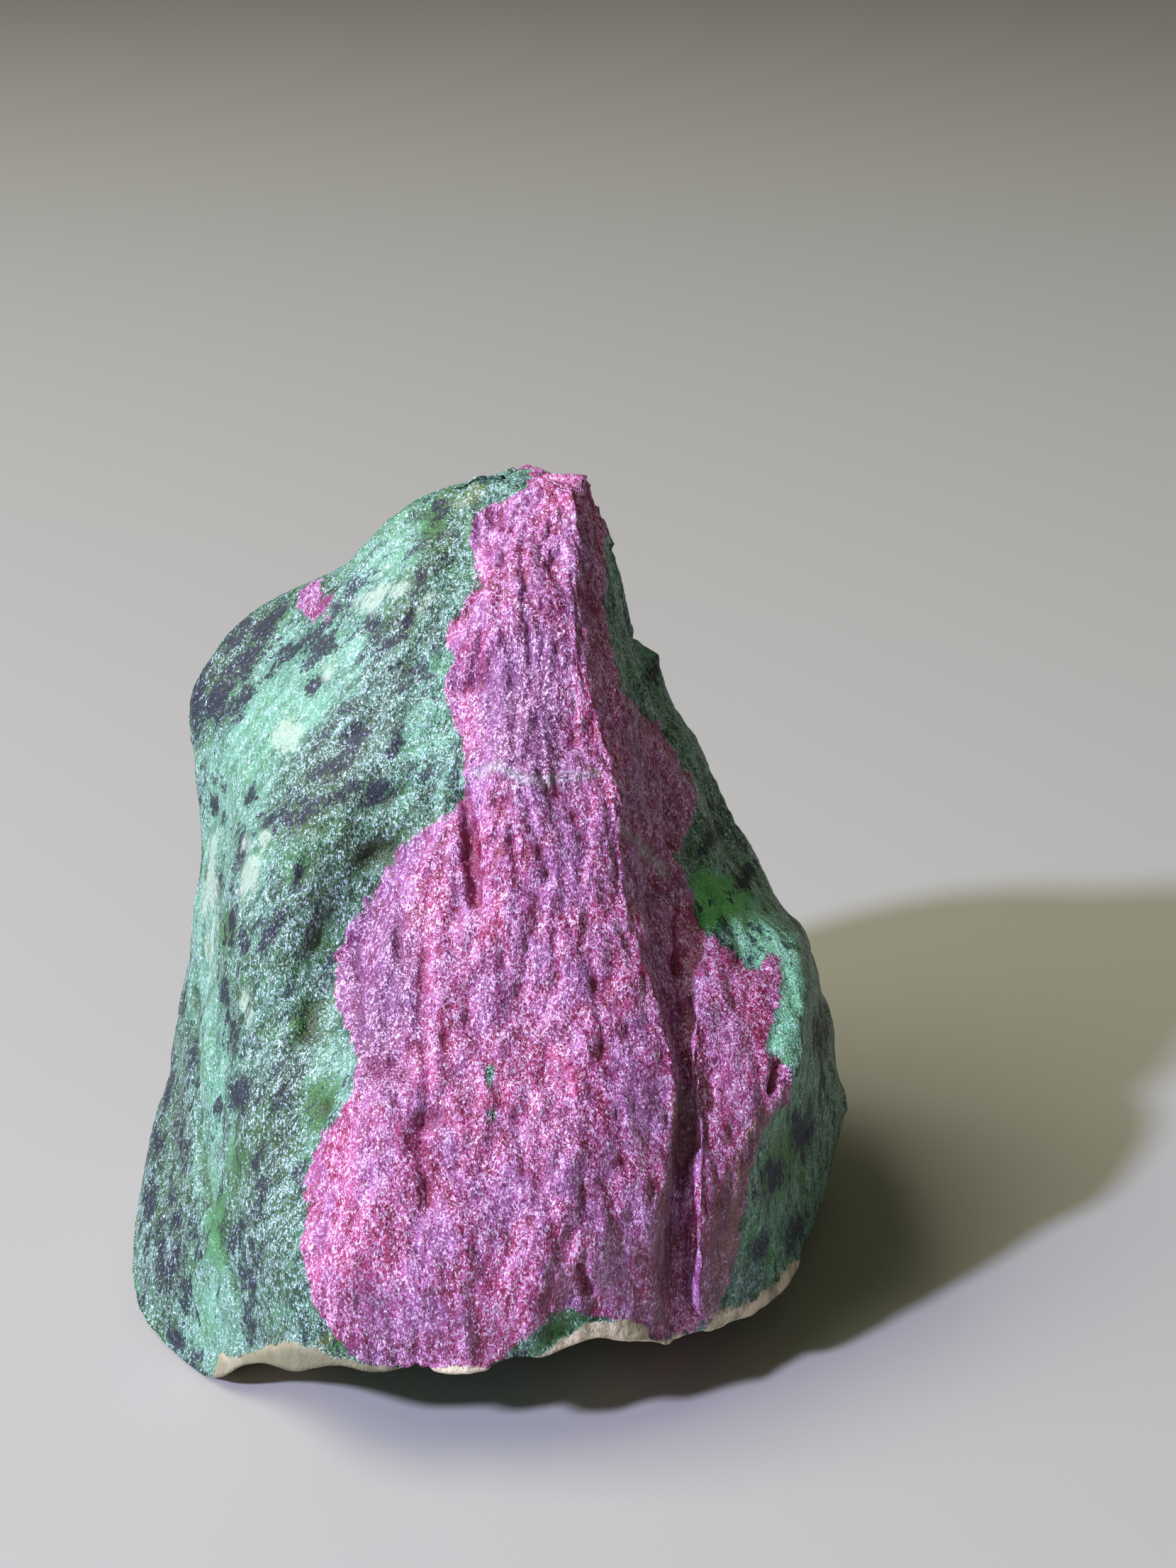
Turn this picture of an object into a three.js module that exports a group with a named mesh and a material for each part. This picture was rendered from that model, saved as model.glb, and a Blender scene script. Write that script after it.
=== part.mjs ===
// A rough, unpolished piece of ruby in zoisite, about 85 mm tall, that stands on its broken underside.
//
// It is one intergrown stone, so it is one solid. The form is a loft: named edge lines run from the resting
// face over the rim of the foot to the crown, contours are drawn through them, and the surface between the
// contours is then cut back to flat breaks, furrowed, and roughened as a hammer and the grain of the rock
// leave it. In front, the rim stands well clear of the table, because the underside broke away there.
//
// Millimetres. +Z is up, +X is to the right of the ruby face, and -Y is the side that the ruby face looks to.
// The origin is on the resting face, under the middle of the stone.

import * as THREE from "three";
import { mergeVertices } from "three/addons/utils/BufferGeometryUtils.js";
import { ImprovedNoise } from "three/addons/math/ImprovedNoise.js";

// ---- Driving dimensions -------------------------------------------------------------------------
const CROWN_TOP = new THREE.Vector3(4.8, 4.2, 85.1); // the highest point of the stone
const CROWN_RING_HEIGHT = 84.4; // the last level contour, just under the top
const FOOT_MIDDLE = new THREE.Vector3(-3, 2, 0); // where the faces of the resting face meet
const ROWS = 49; // bands of faces from the middle of the resting face to the top
const RIM_ROW = 7; // the rows up to this one cover the underside, and this one is the rim of the foot

const SWELL = { size: 13, height: 0.55 }; // broad waves of the broken surface
const GRAIN = { size: 4.6, stretch: 2.6, height: 0.42 }; // the rock's fabric: lenses that stand upright
const RELIEF_STARTS = 0.4; // below this height the resting face stays flat
const RELIEF_FULL = 3; // above this height the relief has its full depth

// ---- Edge lines ---------------------------------------------------------------------------------
// Each runs from the rim of the foot to the crown as x, y, z, and they are listed anticlockwise as seen from
// above, from the left front corner. "rests" is the x and y where the broken underside, which slopes in from
// the rim, meets the resting face. "columns" is the number of faces from one line to the next, and "crisp" is
// 1 where the rock broke to a sharp edge and 0 where the surface rolls smoothly through the line.
const EDGE_LINES = {
  leftCorner: {
    columns: 5,
    crisp: 0.6,
    rests: [-26.5, -22.5],
    points: [
      [-27.5, -25, 0.5], [-29.5, -21, 7], [-28, -18, 19.5], [-26.5, -16, 31.5], [-25.5, -12.5, 43],
      [-24.5, -9.5, 51.5], [-23, -6.5, 58], [-20, -3.5, 63.5], [-16.5, -0.5, 68.5], [-13, 1, 73.5],
      [-10, 2.5, 78], [-5.5, 3.5, 82.3], [-0.5, 4.3, 84.4],
    ],
  },
  greenFace: {
    columns: 4,
    crisp: 0,
    rests: [-19.5, -20],
    points: [
      [-22, -30.5, 6], [-22, -29, 18], [-21, -26, 29.5], [-19.5, -22, 39], [-18, -18, 49.5],
      [-15.5, -14, 58], [-12, -10.5, 64], [-9, -6.5, 70.5], [-6.5, -3.5, 76.5], [-2.5, 0.5, 81],
      [1.5, 3, 84.4],
    ],
  },
  hollow: {
    columns: 5,
    crisp: 0.2,
    rests: [-12, -18],
    points: [
      [-15, -38, 11.8], [-16.5, -34.5, 22], [-16.3, -29.5, 29], [-15.2, -24.5, 37],
      [-12.3, -20.3, 43.5], [-9.3, -16.8, 50.5], [-5.2, -15.3, 56], [-3.2, -13, 62], [-2.3, -10, 68],
      [-1.3, -6.2, 74.5], [0.7, -1, 80.5], [3, 2, 84.4],
    ],
  },
  rubyLeft: {
    columns: 8,
    crisp: 0.2,
    rests: [-5.5, -16],
    points: [
      [-7, -38.5, 11.5], [-10.5, -37.3, 22.5], [-10.5, -32.5, 32.5], [-9.5, -26, 41.5], [-7, -20.5, 51],
      [-1.5, -17, 57.5], [0, -13.5, 64], [1, -10, 70], [1.5, -6, 76.5], [3, -1, 81.5], [4.5, 1.5, 84.4],
    ],
  },
  rubyMiddle: {
    columns: 5,
    crisp: 0,
    rests: [2, -15],
    points: [
      [2, -38.3, 11.9], [2.5, -37, 23.5], [2.5, -32.5, 33], [3, -26.5, 42.5], [3.5, -22, 52],
      [4.5, -17, 61], [5.5, -13, 67.5], [6, -9.3, 73.5], [6.5, -4, 79.5], [7, 1, 84.4],
    ],
  },
  rubyRight: {
    columns: 4,
    crisp: 0,
    rests: [7.5, -14],
    points: [
      [11, -35.8, 13.3], [10.5, -35.6, 23], [10.5, -31.4, 32.5], [10.2, -25.8, 42.5], [9.7, -21.3, 51.5],
      [9.3, -16.6, 60], [8.9, -12.6, 67], [8.5, -9, 73], [8.1, -3.9, 79], [8, 0.9, 84.4],
    ],
  },
  mainRidge: {
    columns: 4,
    crisp: 1,
    rests: [12, -12.5],
    points: [
      [16.8, -33, 10.6], [17.1, -32.3, 19.5], [18, -30.3, 27], [18.8, -27.2, 33], [18.3, -25, 38],
      [16.7, -22.5, 43.5], [15, -20.8, 47.5], [13.7, -18.4, 53], [13.3, -15.3, 59], [12.2, -12.5, 65],
      [10.2, -9, 72], [10, -3.6, 78.5], [9, 0.9, 84.4],
    ],
  },
  groove: {
    columns: 5,
    crisp: 0.4,
    rests: [14, -11],
    points: [
      [18.7, -28.8, 7.5], [18.7, -28, 14.5], [19, -26.6, 23.5], [19.5, -24.9, 29], [19.6, -21.3, 36],
      [18, -17, 44], [16.5, -13.3, 50.5], [16, -9.3, 57], [15, -5, 63.5], [13, -1.5, 71],
      [12, 1.5, 77.5], [10.4, 3.6, 84.4],
    ],
  },
  bulge: {
    columns: 6,
    crisp: 0.7,
    rests: [16.5, -9],
    points: [
      [22.4, -26.5, 7.1], [21, -30.2, 12], [20.8, -30.4, 18], [20.9, -28.5, 25], [21, -26.7, 29],
      [20.3, -24.4, 34], [20.6, -22, 38], [21.6, -18, 41.5], [23, -12.5, 44], [23.9, -6.5, 47],
      [21.5, -4.5, 51], [19.5, -2, 56.5], [17.2, 0.5, 62.5], [14.2, 3, 69.5], [12.5, 4.5, 77],
      [10.4, 4.5, 84.4],
    ],
  },
  rightFace: {
    columns: 4,
    crisp: 0.6,
    rests: [20.5, -6],
    points: [
      [26.7, -21.5, 5.5], [25.7, -25.3, 11], [26, -25.5, 16], [27, -24.5, 21.5], [28.6, -23, 27],
      [30.6, -20.8, 31], [31.9, -18, 35], [31.3, -12, 39.5], [28, -3, 43.2], [24.2, 4.5, 48.5],
      [21.7, 6, 54], [18.7, 7, 59.5], [15.3, 7.5, 66], [13.5, 7, 72.5], [12.3, 7, 77.7],
      [9.9, 5.2, 84.4],
    ],
  },
  rightFoot: {
    columns: 4,
    crisp: 0.2,
    rests: [23.5, -1],
    points: [
      [30.9, -15.5, 5], [31.9, -11, 12], [33.2, -7, 20], [33.6, -5, 28], [33.5, -3.5, 34],
      [31.2, 0, 39.5], [27.4, 4.5, 44], [24.4, 6.5, 49], [21.5, 8.5, 54.5], [19, 9.5, 59.5],
      [16, 9.5, 64.5], [13.7, 8.5, 72], [12.5, 8, 77.4], [9.5, 5.6, 84.4],
    ],
  },
  rightEdge: {
    columns: 5,
    crisp: 0.6,
    rests: [27, 5],
    points: [
      [37, 3, 3], [39.3, 8.5, 11.5], [38, 10.5, 19], [36.6, 11.5, 26], [34.8, 12.5, 30.5],
      [31.4, 13, 34], [28, 13.5, 39], [25.4, 13.8, 46], [22.6, 14.3, 51.5], [20.5, 14.5, 55.5],
      [19.1, 14, 60], [17.4, 13.5, 63.4], [14.2, 12, 65.4], [13.9, 10.5, 71.5], [12.8, 9, 77],
      [9, 6, 84.4],
    ],
  },
  rightBack: {
    columns: 6,
    crisp: 0.3,
    rests: [26, 15],
    points: [
      [34.5, 20, 4.5], [33.5, 21, 20], [30, 20.5, 32], [24, 20, 42], [20, 19.5, 50],
      [17, 19, 57], [14, 17, 63], [12.5, 13.5, 70], [11, 10.5, 77], [8, 6.8, 84.4],
    ],
  },
  backRight: {
    columns: 6,
    crisp: 0.6,
    rests: [15, 21.5],
    points: [
      [20.5, 29, 5.5], [20, 28, 20], [17, 26, 35], [15, 24, 50], [13.5, 21, 60],
      [11, 17, 68], [9.5, 12.5, 76], [6.5, 7, 84.4],
    ],
  },
  backMiddle: {
    columns: 6,
    crisp: 0.2,
    rests: [0, 24.5],
    points: [
      [1, 31, 4], [2, 30, 24], [2, 27, 40], [2, 24.5, 54], [2, 22, 64],
      [3, 17.5, 73], [4, 12.5, 79], [4.8, 7.2, 84.4],
    ],
  },
  backLeft: {
    columns: 6,
    crisp: 0.6,
    rests: [-16, 21.5],
    points: [
      [-22, 28.5, 5], [-19.5, 28.5, 22], [-16.5, 27.5, 38], [-15, 26.5, 52], [-14, 24.5, 63],
      [-11, 21.5, 68.5], [-6, 16, 74.5], [0, 10.5, 80.7], [2.8, 7, 84.4],
    ],
  },
  leftBack: {
    columns: 6,
    crisp: 0.4,
    rests: [-28, 13],
    points: [
      [-35.5, 17, 3], [-34, 19, 20], [-30.5, 19, 35], [-28, 19, 48], [-27.7, 20, 57],
      [-25.3, 19.5, 64], [-19.5, 17, 68.6], [-13.5, 13.5, 72.2], [-6, 10, 78.8], [0.8, 6.5, 84.4],
    ],
  },
  leftFlank: {
    columns: 5,
    crisp: 0.3,
    rests: [-33.5, 0],
    points: [
      [-39, 1.5, 2], [-38, 2.5, 9], [-35.2, 3, 17.5], [-32.5, 3.5, 27], [-30.5, 4, 38.5],
      [-30, 5, 47], [-30.7, 7, 54], [-31, 8, 58.5], [-29.5, 9, 63], [-26, 10, 66.8],
      [-22, 10, 69.6], [-17.5, 9, 71.6], [-14.5, 7, 73.5], [-11.5, 6.5, 77], [-6.5, 6.5, 81.6],
      [-0.2, 5.7, 84.4],
    ],
  },
  leftFoot: {
    columns: 5,
    crisp: 0.2,
    rests: [-32, -15],
    points: [
      [-36, -15.5, 1.5], [-36, -11, 8], [-33.2, -8, 18], [-30.5, -5.5, 30], [-29, -3, 41],
      [-28, 0, 50], [-27, 2.5, 57], [-24.5, 4.5, 63], [-20, 6, 68.3], [-14.3, 5, 73.3],
      [-11, 4.5, 77.6], [-6, 4.8, 82], [-0.6, 5, 84.4],
    ],
  },
};

// ---- Breaks, furrows and knobs ------------------------------------------------------------------

/** Flat breaks: whatever stands beyond the plane through "at" is cut back to it. */
const BREAKS = [
  { at: [3, 27, 38], facing: [0.16, 0.95, 0.27] }, // the great break of the back
  { at: [-4, 29.5, 16], facing: [-0.2, 0.96, -0.12] }, // the belly under it
  { at: [-22, 24, 16], facing: [-0.62, 0.78, -0.04] }, // the left half of the foot, behind
  { at: [28, 21, 16], facing: [0.75, 0.64, 0.12] }, // the right half of the foot, behind
  { at: [-21, 23, 50], facing: [-0.5, 0.85, 0.15] }, // the back of the left shoulder
  { at: [-19, 19, 67.5], facing: [-0.32, 0.66, 0.68] }, // the slope from the shoulder to the crown
  { at: [9, 15, 72], facing: [0.2, 0.86, 0.46] }, // behind the crown
  { at: [20, 20.5, 47], facing: [0.66, 0.66, 0.36] }, // behind the slope of the right side
];

/** Furrows, as x, y, z from end to end, with their width and depth. */
const FURROWS = [
  { from: [-1, -16, 59.5], to: [0, -21.5, 51.5], width: 2.6, depth: 1.1 }, // the deep slot in the ruby
  { from: [-8, -25.5, 42], to: [-5, -31.5, 33.5], width: 2.6, depth: 0.7 },
  { from: [9.2, -36.3, 19], to: [10.2, -36.3, 17], width: 1.8, depth: 0.9 },
  { from: [-29.5, -6.5, 34], to: [-29, -14, 24], width: 2.4, depth: 0.7 }, // the crack left of the corner
  { from: [-29, -14, 24], to: [-25.5, -25, 10], width: 2.2, depth: 0.7 },
  { from: [23.2, -27.6, 24], to: [23.2, -29.2, 12], width: 2, depth: 0.7 }, // right of the second crest
  { from: [14.5, -5, 65.5], to: [19, 2, 59], width: 2.2, depth: 0.5 }, // under the slab of the right side
  { from: [28.8, -22.5, 27.5], to: [27.8, -24, 23.5], width: 3.2, depth: 1 },
  { from: [-3, -9.5, 67.5], to: [1, -11, 69], width: 2, depth: 0.5 },
  { from: [-8, -14.5, 55], to: [-14.5, -20, 42.5], width: 4.5, depth: 0.4 }, // along the ruby's raised edge
  { from: [-13, 25, 57], to: [-2, 29, 24], width: 3.6, depth: 1.2 }, // the furrows of the back
  { from: [-2, 29, 24], to: [-6, 29, 5], width: 3.2, depth: 0.9 },
  { from: [13, 25, 50], to: [19, 27, 12], width: 3.4, depth: 1 },
  { from: [-31, 16, 40], to: [-30, 20, 12], width: 3, depth: 0.8 },
];

/** Knobs and ledges that stand proud of the surface round them. */
const KNOBS = [
  { at: [-25, 2.5, 57.5], reach: 7, height: 0.8 }, // the left shoulder
  { at: [39, 9.5, 21], reach: 4.5, height: 0.9 }, // low on the right side
  { at: [35, 12.5, 31], reach: 4, height: 0.8 },
  { at: [22.5, 14, 52], reach: 4, height: 0.8 },
  { at: [17.5, 13, 62], reach: 3.5, height: 0.6 }, // the tip of the slab
  { at: [-11.5, -37, 21], reach: 8, height: 0.7 }, // the belly of the ruby, low on the left
  { at: [6.3, -37, 15], reach: 7, height: 0.6 },
  { at: [-9, 28, 38], reach: 7, height: 1.3 }, // three swellings of the back
  { at: [9, 27, 29], reach: 7.5, height: 1.4 },
  { at: [23, 23, 25], reach: 6, height: 1.1 },
];

// ---- Contours -----------------------------------------------------------------------------------

const LINES = Object.values(EDGE_LINES);
const COLUMNS = LINES.reduce((sum, line) => sum + line.columns, 0);

/** The column on which each edge line stands. */
const LINE_COLUMNS = LINES.map((_, i) => LINES.slice(0, i).reduce((sum, line) => sum + line.columns, 0));

/** A smooth curve through samples, each at its place along the curve. */
function smoothCurve(places, samples) {
  const values = new Float32Array(samples.flat());
  return new THREE.CubicInterpolant(new Float32Array(places), values, samples[0].length);
}

const LINE_CURVES = LINES.map(({ points }) =>
  smoothCurve(points.map((point) => point[2]), points.map(([x, y]) => [x, y])),
);

/** The point of an edge line on a row: straight up the underside to the rim, then along its curve. */
function pointOnLine({ rests, points: [rim] }, curve, row) {
  if (row < RIM_ROW) {
    const up = (row - 1) / (RIM_ROW - 1);
    return [...rests, 0].map((start, i) => THREE.MathUtils.lerp(start, rim[i], up));
  }
  const up = (row - RIM_ROW) / (ROWS - 1 - RIM_ROW);
  const height = THREE.MathUtils.lerp(rim[2], CROWN_RING_HEIGHT, up);
  return [...curve.evaluate(height), height];
}

/** The contour of a row: one corner for each edge line, and a smooth closed curve through them. */
function contourOf(row) {
  const corners = LINES.map((line, i) => pointOnLine(line, LINE_CURVES[i], row));
  const lap = (turn) => LINE_COLUMNS.map((column) => column + turn * COLUMNS);
  return {
    corners,
    curve: smoothCurve([...lap(-1), ...lap(0), ...lap(1)], [...corners, ...corners, ...corners]),
  };
}

/** The point on a contour at a column: straight from line to line where they are crisp, or else rounded. */
function pointOnContour({ corners, curve }, column) {
  const side = LINE_COLUMNS.findLastIndex((start) => start <= column);
  const next = (side + 1) % LINES.length;
  const along = (column - LINE_COLUMNS[side]) / LINES[side].columns;
  const straight = new THREE.Vector3(...corners[side]).lerp(new THREE.Vector3(...corners[next]), along);
  const round = new THREE.Vector3(...curve.evaluate(column));
  const crisp = THREE.MathUtils.lerp(LINES[side].crisp, LINES[next].crisp, along);
  return round.lerp(straight, crisp);
}

// ---- The loft -----------------------------------------------------------------------------------

/** A ball of rows and columns, pulled onto the contours. */
function loft() {
  const ball = new THREE.SphereGeometry(1, COLUMNS, ROWS);
  const position = ball.getAttribute("position");
  const uv = ball.getAttribute("uv");
  const contours = Array.from({ length: ROWS - 1 }, (_, i) => contourOf(i + 1));
  for (let i = 0; i < position.count; i++) {
    const row = Math.round(uv.getY(i) * ROWS);
    const column = Math.round(uv.getX(i) * COLUMNS) % COLUMNS;
    const isEnd = row === 0 || row === ROWS;
    const end = row === 0 ? FOOT_MIDDLE : CROWN_TOP;
    const point = isEnd ? end : pointOnContour(contours[row - 1], column);
    position.setXYZ(i, point.x, point.y, point.z);
  }
  ball.deleteAttribute("normal");
  ball.deleteAttribute("uv");
  return mergeVertices(ball, 1e-3);
}

// ---- Relief -------------------------------------------------------------------------------------

/** Cuts a point back, on its own level, to every flat break that it stands beyond. */
function cutToBreaks(point) {
  for (const { at, facing } of BREAKS) {
    const normal = new THREE.Vector3(...facing);
    const beyond = point.clone().sub(new THREE.Vector3(...at)).dot(normal);
    const level = normal.clone().setZ(0);
    if (beyond > 0) point.addScaledVector(level, -beyond / level.lengthSq());
  }
}

/** 1 at the middle of a mark, falling smoothly to 0 at its rim. */
function fadeOut(distance, rim) {
  return THREE.MathUtils.smoothstep(rim - distance, 0, rim);
}

function furrowDepth(point) {
  const nearest = new THREE.Vector3();
  return FURROWS.reduce((sum, { from, to, width, depth }) => {
    const run = new THREE.Line3(new THREE.Vector3(...from), new THREE.Vector3(...to));
    run.closestPointToPoint(point, true, nearest);
    return sum + depth * fadeOut(nearest.distanceTo(point), width);
  }, 0);
}

function knobHeight(point) {
  return KNOBS.reduce(
    (sum, { at, reach, height }) => sum + height * fadeOut(point.distanceTo(new THREE.Vector3(...at)), reach),
    0,
  );
}

const noise = new ImprovedNoise();

function roughness({ x, y, z }) {
  const swell = noise.noise(x / SWELL.size, y / SWELL.size, z / SWELL.size);
  const grain = noise.noise(x / GRAIN.size, y / GRAIN.size, z / (GRAIN.size * GRAIN.stretch) + 50);
  return 2 * SWELL.height * swell + 2 * GRAIN.height * grain;
}

/** Moves every point in or out along the surface's own normal. */
function addRelief(geometry) {
  const position = geometry.getAttribute("position");
  const point = new THREE.Vector3();
  for (let i = 0; i < position.count; i++) {
    point.fromBufferAttribute(position, i);
    cutToBreaks(point);
    position.setXYZ(i, point.x, point.y, point.z);
  }
  geometry.computeVertexNormals();
  const normal = geometry.getAttribute("normal");
  const outward = new THREE.Vector3();
  for (let i = 0; i < position.count; i++) {
    point.fromBufferAttribute(position, i);
    outward.fromBufferAttribute(normal, i);
    const share = THREE.MathUtils.smoothstep(point.z, RELIEF_STARTS, RELIEF_FULL);
    point.addScaledVector(outward, share * (roughness(point) + knobHeight(point) - furrowDepth(point)));
    position.setXYZ(i, point.x, point.y, point.z);
  }
  geometry.deleteAttribute("normal");
}

/** Puts the origin under the middle of the stone. */
function centre(geometry) {
  geometry.computeBoundingBox();
  const middle = geometry.boundingBox.getCenter(new THREE.Vector3());
  geometry.translate(-middle.x, -middle.y, 0);
}

function roughStone() {
  const geometry = loft();
  addRelief(geometry);
  centre(geometry);
  return geometry;
}

const stone = new THREE.Mesh(
  roughStone(),
  new THREE.MeshStandardMaterial({ color: 0x9c4a72, roughness: 0.7, metalness: 0 }),
);
stone.name = "rough_ruby";

const part = new THREE.Group();
part.add(stone);
export default part;
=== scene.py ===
# %% [markdown]
# # A rough piece of ruby in zoisite
#
# The object is one broken stone, about 85 mm tall. A ruby mass runs down its front. Round it lies green
# zoisite with blue-black hornblende and a little white feldspar, and a thin pale crust follows the foot.
# Nothing on it was cut or polished, so all that there is to learn here is relief and colour: the large form
# comes from the frame, the small form is pressed into a subdivided copy of it, and rules paint the minerals.

# %% Load the frame
import math

import bmesh
import bpy
import numpy as np
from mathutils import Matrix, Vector, noise


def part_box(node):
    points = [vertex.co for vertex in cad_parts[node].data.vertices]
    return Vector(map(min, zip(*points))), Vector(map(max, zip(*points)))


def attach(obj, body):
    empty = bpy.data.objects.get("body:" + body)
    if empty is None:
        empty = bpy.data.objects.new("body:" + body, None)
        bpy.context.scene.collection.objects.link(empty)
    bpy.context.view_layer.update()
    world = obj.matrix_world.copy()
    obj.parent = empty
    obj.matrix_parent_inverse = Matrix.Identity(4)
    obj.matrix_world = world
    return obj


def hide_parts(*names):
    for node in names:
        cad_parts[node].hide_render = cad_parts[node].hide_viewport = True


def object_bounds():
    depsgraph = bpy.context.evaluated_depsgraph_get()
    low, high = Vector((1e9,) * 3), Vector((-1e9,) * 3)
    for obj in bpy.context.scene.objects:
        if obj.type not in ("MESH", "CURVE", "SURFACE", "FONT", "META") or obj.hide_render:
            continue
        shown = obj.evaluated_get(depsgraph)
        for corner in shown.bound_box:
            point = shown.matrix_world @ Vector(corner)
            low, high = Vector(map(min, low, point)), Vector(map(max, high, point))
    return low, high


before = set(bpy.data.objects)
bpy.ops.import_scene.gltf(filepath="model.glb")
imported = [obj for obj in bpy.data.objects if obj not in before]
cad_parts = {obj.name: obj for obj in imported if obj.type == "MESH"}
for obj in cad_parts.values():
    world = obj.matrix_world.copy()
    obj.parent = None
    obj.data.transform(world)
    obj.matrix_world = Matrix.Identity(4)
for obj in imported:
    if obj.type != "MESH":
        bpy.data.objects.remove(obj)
cad_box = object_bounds()
stone_low, stone_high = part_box("rough_ruby")
MM = 0.001
print("stone in mm:", [round(side / MM, 1) for side in stone_high - stone_low])

# %% [markdown]
# ## The camera
#
# The camera comes first, because the minerals' outlines are laid out on the picture that it takes. It stands
# in front of the ruby face, a little above the stone, and looks 24 degrees down. Its lens follows from the
# focal length in pixels: the long side of the picture falls on the 36 mm of the sensor.

# %% Camera
PICTURE_WIDTH, PICTURE_HEIGHT = 1659, 2212
FOCAL_PIXELS = 3322
SENSOR = 36
LOOKS_DOWN = math.radians(24)
CAMERA_PLACE = Vector((10.25, -209.98, 149)) * MM

camera_data = bpy.data.cameras.new("camera")
camera_data.sensor_width = SENSOR
camera_data.lens = FOCAL_PIXELS / PICTURE_HEIGHT * SENSOR
camera_data.clip_start = 10 * MM
camera = bpy.data.objects.new("camera", camera_data)
camera.location = CAMERA_PLACE
camera.rotation_euler = (math.radians(90) - LOOKS_DOWN, 0, 0)
bpy.context.scene.collection.objects.link(camera)
bpy.context.scene.camera = camera
print("lens in mm:", round(camera_data.lens, 2))

# %% [markdown]
# A point of the stone is carried onto the picture by hand, with one turn and one division. The result is in
# pixels of a 1659 by 2212 picture, counted from the upper left corner. At the stone, 14 pixels are about
# 1 mm.

# %% From the stone to the picture
PIXELS_PER_MM = 14


def on_picture(places):
    """The picture's pixels for an array of places in metres."""
    from_camera = places - np.array(CAMERA_PLACE)
    sine, cosine = math.sin(LOOKS_DOWN), math.cos(LOOKS_DOWN)
    forward = from_camera[:, 1] * cosine - from_camera[:, 2] * sine
    up = from_camera[:, 1] * sine + from_camera[:, 2] * cosine
    across = PICTURE_WIDTH / 2 + FOCAL_PIXELS * from_camera[:, 0] / forward
    down = PICTURE_HEIGHT / 2 - FOCAL_PIXELS * up / forward
    return np.stack([across, down], 1)


print("the top is at pixel", on_picture(np.array([[0.0048, 0.0027, 0.085]])).round())

# %% [markdown]
# ## The stone's mesh
#
# A broken stone has no seams, so it stays one closed mesh. It could be sculpted or scanned. Here a copy of
# the frame's solid is merged into quads and subdivided twice, which keeps every ledge where the solid has it
# and gives faces of about 0.4 mm for the small relief. Sharp folds get a crease, so that they stay sharp.

# %% A merged copy, as quads
SOFT_FOLD, SHARP_FOLD = 22, 50
MERGE_WITHIN = 0.02
FLATTEST_QUAD = math.radians(80)

stone_material = bpy.data.materials.new("ruby_zoisite")
cage = bmesh.new()
cage.from_mesh(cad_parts["rough_ruby"].data)
bmesh.ops.remove_doubles(cage, verts=cage.verts, dist=MERGE_WITHIN * MM)
bmesh.ops.join_triangles(
    cage,
    faces=cage.faces,
    angle_face_threshold=FLATTEST_QUAD,
    angle_shape_threshold=FLATTEST_QUAD,
)
for layer in list(cage.loops.layers.uv):
    cage.loops.layers.uv.remove(layer)
crease = cage.edges.layers.float.new("crease_edge")
for edge in cage.edges:
    fold = math.degrees(edge.calc_face_angle(0))
    edge[crease] = min(max((fold - SOFT_FOLD) / (SHARP_FOLD - SOFT_FOLD), 0), 1)
cage_mesh = bpy.data.meshes.new("stone_cage")
cage.to_mesh(cage_mesh)
print("edges with a crease:", sum(edge[crease] > 0 for edge in cage.edges), "of", len(cage.edges))
cage.free()

# %% Subdivided twice
stone = bpy.data.objects.new("stone", cage_mesh)
bpy.context.scene.collection.objects.link(stone)
finer = stone.modifiers.new("finer", "SUBSURF")
finer.levels = finer.render_levels = 2
bpy.context.view_layer.update()
smooth_mesh = bpy.data.meshes.new_from_object(stone.evaluated_get(bpy.context.evaluated_depsgraph_get()))
stone.modifiers.clear()
stone.data = smooth_mesh
stone.data.materials.clear()
stone.data.materials.append(stone_material)
stone.data.shade_smooth()
print("stone triangles:", sum(len(face.vertices) - 2 for face in stone.data.polygons))


# %% Places and normals as arrays
def places_of(mesh):
    places = np.empty(len(mesh.vertices) * 3)
    mesh.vertices.foreach_get("co", places)
    return places.reshape(-1, 3)


def normals_of(mesh):
    normals = np.empty(len(mesh.vertices) * 3)
    mesh.vertex_normals.foreach_get("vector", normals)
    return normals.reshape(-1, 3)


places = places_of(stone.data)
normals = normals_of(stone.data)
pixels = on_picture(places)
to_camera = np.array(CAMERA_PLACE) - places
to_camera /= np.linalg.norm(to_camera, axis=1)[:, None]
facing = (normals * to_camera).sum(1)
print("vertices that the camera can see:", int((facing > 0).sum()), "of", len(places))

# %% [markdown]
# ## Where the minerals lie
#
# Seen from the camera, each mineral has an outline on the picture. Beyond the stone's edge the camera sees
# nothing, so the back gets patches of its own, as balls drawn out in three directions. Both give a distance
# in millimetres, more than zero inside, and the shader later roughens the line where it crosses zero.

# %% Distances to outlines, lines and balls
FAR_OUTSIDE = -99.0


def smooth_step(low, high, values):
    share = np.clip((values - low) / (high - low), 0, 1)
    return share * share * (3 - 2 * share)


def distance_to_line(points, line):
    """The distance from points to a run of straight pieces."""
    nearest = np.full(len(points), np.inf)
    for start, end in zip(line[:-1], line[1:]):
        start, run = np.array(start, float), np.subtract(end, start).astype(float)
        along = np.clip(((points - start) @ run) / (run @ run), 0, 1)
        nearest = np.minimum(nearest, np.linalg.norm(points - start - along[:, None] * run, axis=1))
    return nearest


def inside_outline(points, outline):
    inside = np.zeros(len(points), bool)
    for (x1, y1), (x2, y2) in zip(outline, outline[1:] + outline[:1]):
        crosses = (y1 > points[:, 1]) != (y2 > points[:, 1])
        if y1 != y2:
            inside ^= crosses & (points[:, 0] < (x2 - x1) * (points[:, 1] - y1) / (y2 - y1) + x1)
    return inside


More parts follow.
